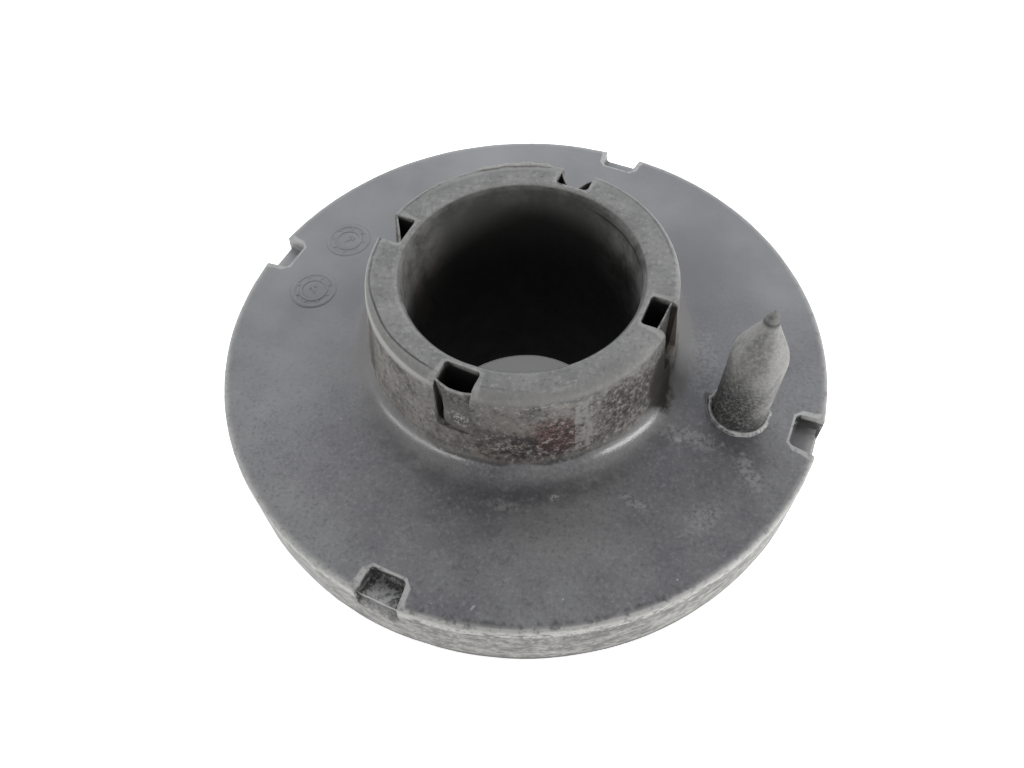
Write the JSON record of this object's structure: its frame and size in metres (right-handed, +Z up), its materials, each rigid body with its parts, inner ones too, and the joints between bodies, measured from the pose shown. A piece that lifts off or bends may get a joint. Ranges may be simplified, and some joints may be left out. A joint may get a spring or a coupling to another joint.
{
  "type": "coil spring pad",
  "caption": "Moulded rubber pad that seats the end of a suspension coil spring, with a hollow boss and a pointed locating pin on the suspension-arm side",
  "frame": {"origin": "centre of the circle on which the end of the collar stands, on the axis of the bore", "axes": "+Z runs up the bore from the spring side to the boss; the locating pin stands 25 degrees from +X towards -Y"},
  "size_m": [0.1258, 0.1258, 0.0698],
  "materials": {
    "black_rubber": "moulded black rubber, worn and dusty, matt with a slight sheen"
  },
  "bodies": {
    "root": {"spring_pad": "black_rubber"}
  },
  "joints": []
}
